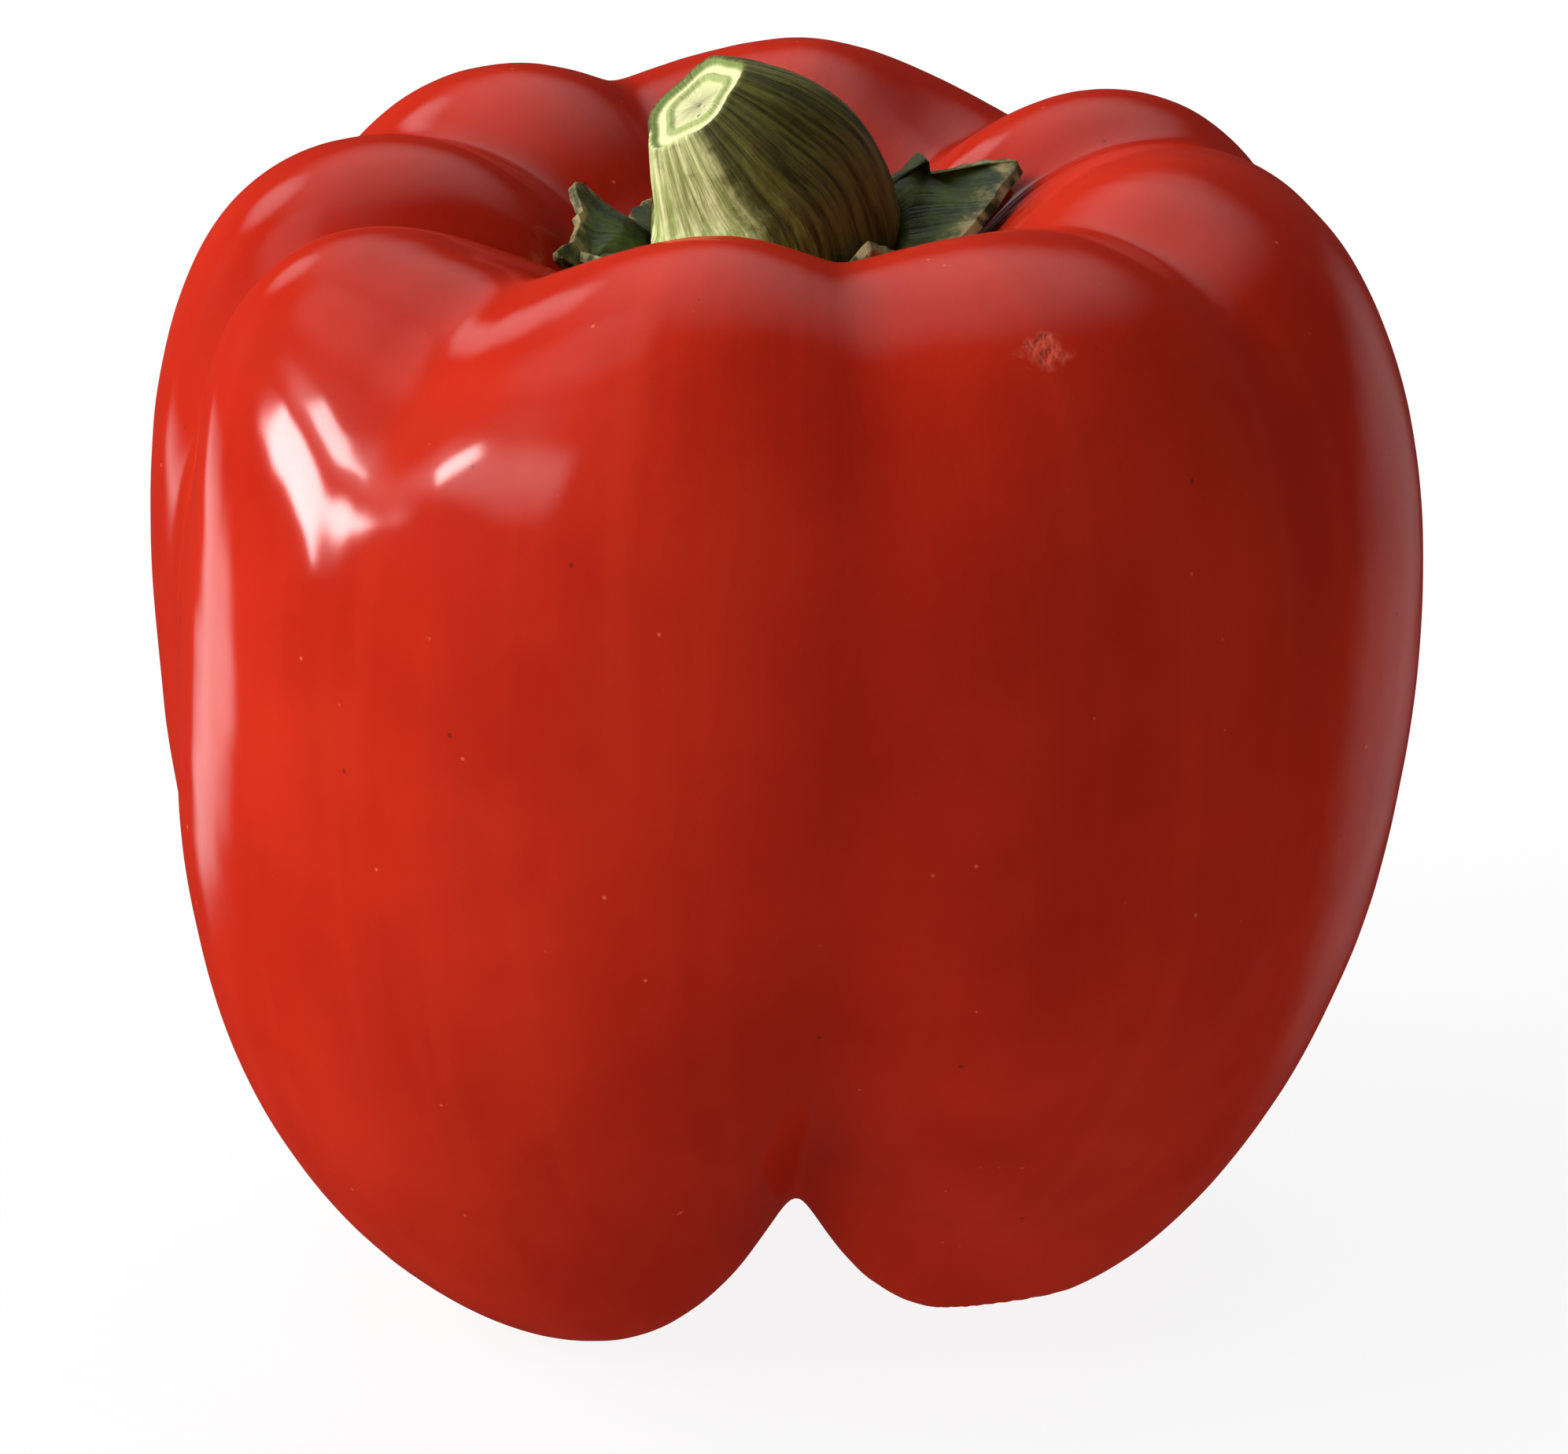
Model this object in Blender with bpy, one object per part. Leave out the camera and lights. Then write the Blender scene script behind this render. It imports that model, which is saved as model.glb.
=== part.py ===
"""A ripe red bell pepper standing on the tips of its four lobes, with its green calyx and cut stalk.

Lengths are in millimetres until the meshes are filled, and angles in degrees. An azimuth is 0 at the
front (-Y) and 90 at the right (+X). A station is the share of a meridian's length, from 0 at the
blossom end, under the fruit, to 1 at the stalk.
"""

from math import radians

import bmesh
import bpy
import numpy as np
from mathutils import Vector

MM = 0.001

# The two meridians of the fruit, as control points (radius, height) of a smooth curve. The crown
# runs over the middle of a lobe, and the floor runs along the bottom of a furrow.
CROWN = [
    (0.0, 11.0), (5.0, 10.8), (10.5, 7.6), (16.0, -3.9), (23.5, -8.1), (33.0, -4.0), (41.6, 9.5),
    (45.2, 25.0), (47.2, 41.0), (48.0, 57.0), (47.6, 71.0), (44.4, 82.0), (35.0, 87.8),
    (25.5, 87.8), (18.0, 82.0), (14.0, 75.5), (10.5, 71.4), (5.0, 70.6), (0.0, 70.5),
]
FLOOR = [
    (0.0, 11.0), (5.0, 11.0), (10.5, 11.0), (16.5, 11.2), (24.0, 12.0), (31.0, 15.8), (37.5, 23.4),
    (42.0, 33.0), (44.3, 45.0), (45.3, 57.0), (43.3, 68.0), (38.3, 76.0), (31.0, 80.0),
    (24.0, 80.2), (18.0, 77.4), (13.5, 73.4), (10.5, 71.2), (5.0, 70.6), (0.0, 70.5),
]

# Stations where a furrow's strength is given. Between two stations it changes smoothly.
BLOSSOM, BASE_IN, BASE, BELLY, SHOULDER, DIMPLE, STALK = 0.02, 0.10, 0.22, 0.45, 0.76, 0.88, 0.95

# Furrows: azimuth at the top and at the base, strength at the base, belly, shoulder and dimple,
# then how far round it spreads and how soft its bottom is.
FURROWS = {
    "front": (10, 4, 0.90, 0.80, 0.62, 0.60, 22, 4),
    "front_right": (54, 50, 0.00, 0.25, 0.55, 0.50, 14, 4),
    "right": (111, 106, 0.85, 1.00, 1.00, 0.90, 24, 4),
    "back_right": (148, 140, 0.00, 0.25, 0.75, 0.60, 14, 4),
    "back": (204, 184, 0.85, 1.00, 0.84, 0.80, 24, 4),
    "back_left": (243, 230, 0.00, 0.30, 0.70, 0.60, 14, 4),
    "left": (284.5, 280, 0.85, 1.27, 0.88, 0.80, 24, 4),
    "front_left": (322, 316, 0.00, 0.05, 0.60, 1.00, 15, 6),
    "left_crease": (284, 281, 0.00, 0.55, 0.60, 0.50, 7, 3),
}

# Swells: azimuth, station, height, half width round the fruit, half width as a share of the meridian.
SWELLS = {
    "left_crest": (256, 0.75, 0.6, 18, 0.08),
    "back_left_crest": (222, 0.77, 1.1, 20, 0.10),
    "back_crest": (188, 0.80, -1.0, 14, 0.08),
    "back_right_valley": (155, 0.80, -2.9, 16, 0.08),
    "right_back_crest": (116, 0.74, 2.3, 18, 0.08),
    "right_shoulder": (84, 0.70, -1.6, 22, 0.10),
    "front_left_crest": (291, 0.71, 3.8, 18, 0.08),
    "front_left_top": (307, 0.81, -1.6, 16, 0.06),
    "front_crest": (354, 0.78, 1.0, 14, 0.08),
    "front_right_crest": (34, 0.80, -0.7, 18, 0.08),
    "front_left_belly": (290, 0.35, 3.8, 24, 0.13),
    "front_right_heel": (33, 0.23, -3.4, 25, 0.06),
    "front_right_tip": (58, 0.16, -1.0, 24, 0.05),
    "back_right_tip": (145, 0.16, 1.3, 24, 0.05),
    "back_left_tip": (232, 0.16, -0.9, 24, 0.05),
}

# How much wider the base of a lobe is than the meridian, as a share, by the lobe's azimuth.
LOBE_REACH = {25: -0.27, 80: 0.03}

# The calyx lies in the dimple: the gap to the skin, its reach along the skin and its thickness,
# which falls from the stalk to its edge.
SEAT_GAP = 0.45
CALYX_EDGE = 14.0
CALYX_THICK_IN = 5.0
CALYX_THICK_OUT = 0.7
# The share of that reach where the calyx's top runs into the foot of the stalk.
FOOT_SHARE = 0.38
# Sepal tips: azimuth, how far past the calyx's edge, how high the tip curls, how far its root stands
# up against the stalk, half width.
SEPALS = {
    "front_curl": (38, 1.5, 3.6, 0.0, 15),
    "right_flap": (112, 14.5, 0.8, 16.0, 20),
    "back_right": (166, 4.5, 0.8, 0.0, 15),
    "back_left": (214, 5.0, 0.8, 0.0, 15),
    "left": (260, 7.0, 1.8, 2.0, 12),
    "left_tip": (284, 10.5, 1.6, 0.0, 9),
    "front_left": (318, 8.0, 1.4, 0.0, 12),
}

# The columns of that table.
AZIMUTH, REACH, CURL, ROOT, WIDTH = range(5)
TIP_SOFTNESS = 5
CURL_SOFTNESS = 8
# A sepal curls only near its tip, by this power of the way out.
CURL_POWER = 4

# The stalk: control points of its centre line. Its radius falls from the foot to the cut, slowly at
# first and then faster, by this power of the way up.
STALK_LINE = [
    (-0.4, 0.6, 70.0), (-0.5, 0.5, 75.0), (-0.9, 0.2, 79.2), (-2.3, -0.5, 82.4), (-4.0, -1.4, 84.6),
    (-5.9, -2.1, 86.9),
]
STALK_FOOT = 9.0
STALK_CUT = 4.3
STALK_TAPER = 3.2
STALK_RIBS = 5
RIB_SHARE = 0.07
RIB_TURN = 20

# Mesh density: columns round each piece and rows along its meridian.
FRUIT_GRID = (72, 52)
STEM_GRID = (60, 42)
# Where the parts of the green piece end, in rows from the seat's centre to the cut's centre.
SEAT_END, CALYX_START, FOOT_START, FOOT_END, CUT_START = (row / 42 for row in (10, 12, 18, 25, 36))
CURVE_SAMPLES = 600

RED_SKIN = (0.42, 0.018, 0.010, 1.0)
GREEN_STALK = (0.18, 0.22, 0.06, 1.0)


def smooth_curve(points, samples=CURVE_SAMPLES):
    """A clamped cubic B-spline through the first and last control points."""
    controls = np.array(points, float)
    count = len(controls)
    degree = 3
    inner = np.linspace(0.0, 1.0, count - degree + 1)
    knots = np.concatenate([np.zeros(degree), inner, np.ones(degree)])
    at = np.linspace(0.0, 1.0 - 1e-12, samples)
    basis = np.array([(low <= at) & (at < high) for low, high in zip(knots, knots[1:])], float)
    for step in range(1, degree + 1):
        raised = np.zeros((len(basis) - 1, samples))
        for i in range(len(raised)):
            rise = knots[i + step] - knots[i]
            fall = knots[i + step + 1] - knots[i + 1]
            if rise > 0:
                raised[i] += (at - knots[i]) / rise * basis[i]
            if fall > 0:
                raised[i] += (knots[i + step + 1] - at) / fall * basis[i + 1]
        basis = raised
    return basis.T @ controls


def lengths_along(curve):
    steps = np.linalg.norm(np.diff(curve, axis=0), axis=1)
    return np.concatenate([[0.0], np.cumsum(steps)])


def point_at(curve, share):
    """The curve's point at each share of its length."""
    lengths = lengths_along(curve)
    at = np.asarray(share) * lengths[-1]
    return np.stack([np.interp(at, lengths, axis) for axis in curve.T], axis=-1)


def direction_at(curve, share):
    step = 0.002
    ahead = point_at(curve, np.clip(share + step, 0.0, 1.0))
    behind = point_at(curve, np.clip(share - step, 0.0, 1.0))
    heading = ahead - behind
    return heading / np.linalg.norm(heading, axis=-1, keepdims=True)


def smooth_step(share):
    share = np.clip(share, 0.0, 1.0)
    return share * share * (3.0 - 2.0 * share)


def between(at, stations, values):
    """Values given at stations, joined by smooth steps."""
    result = np.full_like(at, values[0])
    for i in range(len(stations) - 1):
        share = (at - stations[i]) / (stations[i + 1] - stations[i])
        step = values[i] + (values[i + 1] - values[i]) * smooth_step(share)
        result = np.where(at >= stations[i], step, result)
    return result


def turn_from(azimuth, centre):
    """The angle from a centre azimuth, between minus and plus half a turn."""
    return (azimuth - centre + np.pi) % (2.0 * np.pi) - np.pi


def soft_peak(turn, spread, softness):
    """1 at the centre, falling off exponentially, with a rounded tip."""
    soft = radians(softness)
    return np.exp(-(np.sqrt(turn**2 + soft**2) - soft) / radians(spread))


CROWN_CURVE = smooth_curve(CROWN)
FLOOR_CURVE = smooth_curve(FLOOR)
STALK_CURVE = smooth_curve(STALK_LINE)
CROWN_LENGTH = lengths_along(CROWN_CURVE)[-1]


def furrow_share(azimuth, station):
    """How far the skin drops from the crown meridian to the floor meridian."""
    total = np.zeros_like(station)
    for top, base, at_base, at_belly, at_shoulder, at_dimple, spread, softness in FURROWS.values():
        climb = np.clip((station - BASE) / (SHOULDER - BASE), 0.0, 1.0)
        centre = radians(base) + (radians(top) - radians(base)) * climb
        strength = between(
            station,
            [BLOSSOM, BASE_IN, BASE, BELLY, SHOULDER, DIMPLE, STALK],
            [0.0, 0.9 * at_base, at_base, at_belly, at_shoulder, at_dimple, 0.0],
        )
        total += strength * soft_peak(turn_from(azimuth, centre), spread, softness)
    return total


def swell_height(azimuth, station):
    """The swells' height, which fades to nothing at both ends of the meridian."""
    total = np.zeros_like(station)
    for centre, middle, height, width, length in SWELLS.values():
        across = turn_from(azimuth, radians(centre)) / radians(width)
        along = (station - middle) / length
        total += height * np.exp(-(across**2) - along**2)
    return total * between(station, [BLOSSOM, BASE_IN, DIMPLE, STALK], [0.0, 1.0, 1.0, 0.0])


def base_reach(azimuth, station):
    reach = np.ones_like(station)
    for centre, share in LOBE_REACH.items():
        facing = np.clip(np.cos(turn_from(azimuth, radians(centre))), 0.0, 1.0) ** 2
        reach += facing * between(station, [BLOSSOM, BASE, BELLY], [0.0, share, 0.0])
    return reach


def skin_point(azimuth, station):
    """The skin's place, before its tips are levelled."""
    crown = point_at(CROWN_CURVE, station)
    floor = point_at(FLOOR_CURVE, station)
    heading = direction_at(CROWN_CURVE, station)
    outward = np.stack([heading[..., 1], -heading[..., 0]], axis=-1)
    meridian = crown + (floor - crown) * furrow_share(azimuth, station)[..., None]
    meridian += outward * swell_height(azimuth, station)[..., None]
    radius = np.maximum(meridian[..., 0], 0.0) * base_reach(azimuth, station)
    height = meridian[..., 1]
    return np.stack([radius * np.sin(azimuth), -radius * np.cos(azimuth), height], axis=-1)


def skin_outward(azimuth, station):
    """The skin's outward direction, from one step along the meridian and one round the fruit."""
    step = 0.003
    last = 1.0 - step
    along = skin_point(azimuth, np.minimum(station + step, last))
    along -= skin_point(azimuth, np.minimum(station, last) - step)
    round_it = skin_point(azimuth + step, station) - skin_point(azimuth - step, station)
    outward = np.cross(round_it, along)
    size = np.linalg.norm(outward, axis=-1, keepdims=True)
    up = np.zeros_like(outward)
    up[..., 2] = 1.0
    return np.where(size > 1e-6, outward / np.maximum(size, 1e-6), up)


def fruit_point(azimuth, share):
    """The fruit's place, with the lobes' tips pressed flat where they touch the ground."""
    place = skin_point(azimuth, share)
    place[..., 2] = np.maximum(place[..., 2], 0.0)
    return place


def sepal_sum(azimuth, column, softness):
    """One column of the sepals' table, as a height that peaks at each sepal's azimuth."""
    total = np.zeros_like(azimuth)
    for sepal in SEPALS.values():
        turn = turn_from(azimuth, radians(sepal[AZIMUTH]))
        total += sepal[column] * soft_peak(turn, sepal[WIDTH], softness)
    return total


def calyx_edge(azimuth):
    """How far the calyx reaches from the stalk's centre, measured along the skin."""
    return CALYX_EDGE + sepal_sum(azimuth, REACH, TIP_SOFTNESS)


def calyx_point(azimuth, share, height, over):
    """A point over the skin, at a share of the way from the stalk's centre to the calyx's edge.

    Over is 0 on the seat and 1 on the upper side, where the roots of the sepals stand up.
    """
    share = np.clip(share, 0.0, 1.0)
    station = 1.0 - share * calyx_edge(azimuth) / CROWN_LENGTH
    curl = sepal_sum(azimuth, CURL, CURL_SOFTNESS) * share**CURL_POWER
    root = sepal_sum(azimuth, ROOT, CURL_SOFTNESS) * (1.0 - share) * over
    lift = SEAT_GAP + height + curl + root
    return skin_point(azimuth, station) + skin_outward(azimuth, station) * lift[..., None]


def calyx_thickness(share):
    return CALYX_THICK_IN + (CALYX_THICK_OUT - CALYX_THICK_IN) * share


def stalk_point(azimuth, share, inward=0.0):
    """A point on the stalk's ribbed side, or on its cut, by how far inward it lies."""
    share = np.clip(share, 0.0, 1.0)
    centre = point_at(STALK_CURVE, share)
    heading = direction_at(STALK_CURVE, share)
    across = np.array([1.0, 0.0, 0.0]) - heading * heading[..., :1]
    across /= np.linalg.norm(across, axis=-1, keepdims=True)
    depth = np.cross(heading, across)
    ribs = np.cos(STALK_RIBS * (azimuth - radians(RIB_TURN)))
    taper = STALK_FOOT + (STALK_CUT - STALK_FOOT) * share**STALK_TAPER
    radius = taper * (1.0 + RIB_SHARE * ribs)
    radius = radius * (1.0 - inward)
    rightward = across * (radius * np.sin(azimuth))[..., None]
    frontward = -depth * (radius * np.cos(azimuth))[..., None]
    return centre + rightward + frontward


def green_point(azimuth, share):
    """The calyx and stalk as one skin: seat, edge, calyx top, foot, stalk and cut."""
    flat = np.zeros_like(share)
    seat = calyx_point(azimuth, share / SEAT_END, flat, flat)
    edge_rise = smooth_step((share - SEAT_END) / (CALYX_START - SEAT_END))
    inward = 1.0 - (share - CALYX_START) / (FOOT_END - CALYX_START) * (1.0 - FOOT_SHARE)
    inward = np.clip(inward, 0.0, 1.0)
    top = calyx_point(azimuth, inward, calyx_thickness(inward) * edge_rise, edge_rise)
    climb = (share - FOOT_START) / (CUT_START - FOOT_START)
    stalk = stalk_point(azimuth, climb)
    cut_share = np.clip((share - CUT_START) / (1.0 - CUT_START), 0.0, 1.0)
    cut = stalk_point(azimuth, np.ones_like(share), cut_share)
    blend = smooth_step((share - FOOT_START) / (FOOT_END - FOOT_START))[..., None]
    place = np.where((share <= SEAT_END)[..., None], seat, top)
    place = np.where((share > FOOT_START)[..., None], top + (stalk - top) * blend, place)
    return np.where((share > CUT_START)[..., None], cut, place)


def sphere_to_shape(name, grid, rule, colour, roughness, centre):
    """A UV sphere whose every point is moved to where the rule puts its azimuth and share."""
    columns, rows = grid
    body = bmesh.new()
    bmesh.ops.create_uvsphere(body, u_segments=columns, v_segments=rows, radius=1.0)
    sphere = np.array([vertex.co for vertex in body.verts])
    azimuth = np.arctan2(sphere[:, 0], -sphere[:, 1])
    share = 0.5 + np.arcsin(np.clip(sphere[:, 2], -1.0, 1.0)) / np.pi
    places = (rule(azimuth, share) - centre) * MM
    for vertex, place in zip(body.verts, places):
        vertex.co = place
    mesh = bpy.data.meshes.new(name)
    body.to_mesh(mesh)
    body.free()
    mesh.shade_smooth()
    mesh.materials.append(plain_material(name, colour, roughness))
    return bpy.data.objects.new(name, mesh)


def plain_material(name, colour, roughness):
    material = bpy.data.materials.new(name)
    material.use_nodes = True
    shader = material.node_tree.nodes["Principled BSDF"]
    shader.inputs["Base Color"].default_value = colour
    shader.inputs["Roughness"].default_value = roughness
    shader.inputs["Metallic"].default_value = 0.0
    return material


def fruit_centre():
    """The middle of the fruit's outline on the ground, which becomes the origin."""
    columns, rows = FRUIT_GRID
    azimuth, share = np.meshgrid(
        np.radians(np.arange(columns) * 360.0 / columns - 90.0), np.arange(rows + 1) / rows
    )
    places = fruit_point(azimuth, share).reshape(-1, 3)
    middle = (places.min(axis=0) + places.max(axis=0)) / 2.0
    middle[2] = 0.0
    return middle


def clear_scene():
    for old in list(bpy.data.objects):
        bpy.data.objects.remove(old, do_unlink=True)


def main():
    clear_scene()
    pepper = bpy.data.collections.new("bell_pepper")
    bpy.context.scene.collection.children.link(pepper)
    centre = fruit_centre()
    fruit = sphere_to_shape("fruit", FRUIT_GRID, fruit_point, RED_SKIN, 0.18, centre)
    stem = sphere_to_shape("stem_with_calyx", STEM_GRID, green_point, GREEN_STALK, 0.6, centre)
    pepper.objects.link(fruit)
    pepper.objects.link(stem)
    for piece in (fruit, stem):
        corners = [piece.matrix_world @ Vector(corner) for corner in piece.bound_box]
        size = [max(c[i] for c in corners) - min(c[i] for c in corners) for i in range(3)]
        print(piece.name, "size in mm:", [round(side / MM, 1) for side in size])


main()
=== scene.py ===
# %% [markdown]
# # A ripe red bell pepper, dressed over its solids
# The plain solids give the fruit and its green stalk their size and place. Here each one is grown
# again as a fine mesh from the same rule, so that the skin can carry its small unevenness, its
# sepals can fray, and the materials can follow the way the fruit grew.

# %% Load the solids
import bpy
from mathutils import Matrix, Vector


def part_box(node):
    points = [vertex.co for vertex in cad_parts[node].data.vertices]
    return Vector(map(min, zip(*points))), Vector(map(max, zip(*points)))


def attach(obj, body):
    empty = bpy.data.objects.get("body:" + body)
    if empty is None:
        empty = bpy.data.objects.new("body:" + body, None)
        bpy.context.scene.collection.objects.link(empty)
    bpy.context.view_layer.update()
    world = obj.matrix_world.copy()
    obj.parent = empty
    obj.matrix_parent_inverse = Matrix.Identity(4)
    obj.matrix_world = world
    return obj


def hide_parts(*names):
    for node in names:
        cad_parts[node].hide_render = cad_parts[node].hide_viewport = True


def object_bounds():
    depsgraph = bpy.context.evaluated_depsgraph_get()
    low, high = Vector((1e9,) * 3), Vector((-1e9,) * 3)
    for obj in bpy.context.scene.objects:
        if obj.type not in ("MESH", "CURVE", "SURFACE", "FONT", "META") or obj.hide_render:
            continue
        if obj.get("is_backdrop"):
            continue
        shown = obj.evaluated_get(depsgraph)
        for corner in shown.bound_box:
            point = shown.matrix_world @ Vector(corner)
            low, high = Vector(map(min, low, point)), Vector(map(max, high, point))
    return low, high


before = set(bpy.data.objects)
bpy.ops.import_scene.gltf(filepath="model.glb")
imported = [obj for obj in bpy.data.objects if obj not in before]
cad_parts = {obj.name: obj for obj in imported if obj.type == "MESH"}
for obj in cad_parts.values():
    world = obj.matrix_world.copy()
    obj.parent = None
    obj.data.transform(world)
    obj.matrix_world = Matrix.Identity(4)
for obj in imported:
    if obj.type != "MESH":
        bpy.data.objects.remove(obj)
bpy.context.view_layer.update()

# %% [markdown]
# ## Node trees written as sums
# A growth rule is a formula, and a formula drawn node by node is hard to read. A `Wire` stands
# for the output of a node. Adding or multiplying wires makes the Math node that does it, so the
# trees below read like the formulas they are. The same wires serve shapes and materials.

# %% Wires, nodes and groups
import math

import bpy
from mathutils import Matrix, Vector


class Wire:
    """The output of a node. Sums and products of wires become Math nodes."""

    def __init__(self, socket):
        self.socket = socket

    def __add__(self, other):
        return maths("ADD", self, other)

    def __radd__(self, other):
        return maths("ADD", other, self)

    def __sub__(self, other):
        return maths("SUBTRACT", self, other)

    def __rsub__(self, other):
        return maths("SUBTRACT", other, self)

    def __mul__(self, other):
        return maths("MULTIPLY", self, other)

    def __rmul__(self, other):
        return maths("MULTIPLY", other, self)

    def __truediv__(self, other):
        return maths("DIVIDE", self, other)


def feed(socket, value):
    """Links a wire to a socket, or sets the value of the socket itself."""
    if isinstance(value, Wire):
        socket.id_data.links.new(value.socket, socket)
    elif socket.type == "VECTOR" and isinstance(value, (int, float)):
        socket.default_value = (value, value, value)
    else:
        socket.default_value = value


def add(tree, kind, inputs=None, **settings):
    """Makes a node, sets its options and feeds its inputs."""
    made = tree.nodes.new(kind)
    for name, value in settings.items():
        setattr(made, name, value)
    for key, value in (inputs or {}).items():
        feed(made.inputs[key], value)
    return made


def maths(operation, *values):
    wires = [value for value in values if isinstance(value, Wire)]
    tree = wires[0].socket.id_data
    if any(wire.socket.type == "VECTOR" for wire in wires):
        made = add(tree, "ShaderNodeVectorMath", dict(enumerate(values)), operation=operation)
    else:
        made = add(tree, "ShaderNodeMath", dict(enumerate(values)), operation=operation)
    return Wire(made.outputs[0])


def vector_maths(operation, *values):
    tree = values[0].socket.id_data
    made = add(tree, "ShaderNodeVectorMath", dict(enumerate(values)), operation=operation)
    gives_number = operation in ("DOT_PRODUCT", "LENGTH")
    return Wire(made.outputs["Value" if gives_number else "Vector"])


def ramp(value, start, end, low=0.0, high=1.0, shape="SMOOTHSTEP"):
    """Goes from low to high as the value goes from start to end, and is level outside."""
    limits = {"Value": value, "From Min": start, "From Max": end, "To Min": low, "To Max": high}
    tree = value.socket.id_data
    return Wire(add(tree, "ShaderNodeMapRange", limits, interpolation_type=shape).outputs["Result"])


def parts_of(vector):
    made = add(vector.socket.id_data, "ShaderNodeSeparateXYZ", {"Vector": vector})
    return [Wire(output) for output in made.outputs]


def vector_from(tree, x, y, z):
    return Wire(add(tree, "ShaderNodeCombineXYZ", {"X": x, "Y": y, "Z": z}).outputs["Vector"])


def open_group(name, inputs, outputs):
    """A new Geometry Nodes group: its tree, its input wires by name, and its output node."""
    tree = bpy.data.node_groups.new(name, "GeometryNodeTree")
    for label, (kind, default) in inputs.items():
        socket = tree.interface.new_socket(label, in_out="INPUT", socket_type="NodeSocket" + kind)
        if default is not None:
            socket.default_value = default
    for label, kind in outputs.items():
        tree.interface.new_socket(label, in_out="OUTPUT", socket_type="NodeSocket" + kind)
    start = tree.nodes.new("NodeGroupInput")
    end = tree.nodes.new("NodeGroupOutput")
    return tree, {label: Wire(start.outputs[label]) for label in inputs}, end


def use_group(tree, group, inputs):
    made = add(tree, "GeometryNodeGroup", inputs, node_tree=group)
    return {output.name: Wire(output) for output in made.outputs}


# %% [markdown]
# ## How a pepper is measured
# A point on the skin has an *azimuth*, 0 at the front and 90 to the right, and a *station*, which
# is the share of the way from the blossom end underneath to the stalk. Two smooth curves carry
# the whole shape: the *crown* runs over the middle of a lobe, and the *floor* runs along the
# bottom of a furrow. All the rest is how far a point lies from one towards the other.

# %% Curves that guide the growth
MM = 0.001
CROWN = [
    (0.0, 11.0), (5.0, 10.8), (10.5, 7.6), (16.0, -3.9), (23.5, -8.1), (33.0, -4.0), (41.6, 9.5),
    (45.2, 25.0), (47.2, 41.0), (48.0, 57.0), (47.6, 71.0), (44.4, 82.0), (35.0, 87.8),
    (25.5, 87.8), (18.0, 82.0), (14.0, 75.5), (10.5, 71.4), (5.0, 70.6), (0.0, 70.5),
]
FLOOR = [
    (0.0, 11.0), (5.0, 11.0), (10.5, 11.0), (16.5, 11.2), (24.0, 12.0), (31.0, 15.8), (37.5, 23.4),
    (42.0, 33.0), (44.3, 45.0), (45.3, 57.0), (43.3, 68.0), (38.3, 76.0), (31.0, 80.0),
    (24.0, 80.2), (18.0, 77.4), (13.5, 73.4), (10.5, 71.2), (5.0, 70.6), (0.0, 70.5),
]
STALK_LINE = [
    (-0.4, 0.6, 70.0), (-0.5, 0.5, 75.0), (-0.9, 0.2, 79.2), (-2.3, -0.5, 82.4), (-4.0, -1.4, 84.6),
    (-5.9, -2.1, 86.9),
]


def guide(name, points):
    """A smooth curve that starts at its first point and ends at its last."""
    curve = bpy.data.curves.new(name, "CURVE")
    curve.dimensions = "3D"
    spline = curve.splines.new("NURBS")
    spline.points.add(len(points) - 1)
    for point, place in zip(spline.points, points):
        point.co = (*place, 1.0)
    spline.use_endpoint_u = True
    spline.order_u = 4
    spline.resolution_u = 64
    made = bpy.data.objects.new(name, curve)
    bpy.context.scene.collection.objects.link(made)
    return made


crown_guide = guide("crown_guide", [(radius, 0.0, height) for radius, height in CROWN])
floor_guide = guide("floor_guide", [(radius, 0.0, height) for radius, height in FLOOR])
stalk_guide = guide("stalk_guide", STALK_LINE)
crown_length = crown_guide.data.splines[0].calc_length()
print("crown meridian, mm:", round(crown_length, 1))

# %% [markdown]
# ## One furrow
# A furrow is strongest along its own line, which twists a little from base to top, and it fades
# to both sides. It is also deeper at some stations than at others. One small group makes any
# furrow, and nine uses of it make the four deep clefts between the lobes, the four shallow folds
# on them and one narrow crease beside the left cleft.

# %% The furrow group
BLOSSOM, BASE_IN, BASE, BELLY, SHOULDER, DIMPLE, STALK = 0.02, 0.10, 0.22, 0.45, 0.76, 0.88, 0.95


def turn_from(azimuth, centre):
    """The angle from a centre to an azimuth, between minus and plus half a turn."""
    return maths("WRAP", azimuth - centre, math.pi, -math.pi)


def soft_peak(turn, spread, softness):
    """1 at the centre, falling off to both sides, with a rounded tip. The angles are in degrees."""
    soft = softness * math.radians(1)
    reach = maths("SQRT", turn * turn + soft * soft) - soft
    return maths("EXPONENT", reach / (spread * math.radians(1)) * -1.0)


FURROW_VALUES = ("Top", "Foot", "Base", "Belly", "Shoulder", "Dimple", "Spread", "Softness")


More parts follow.
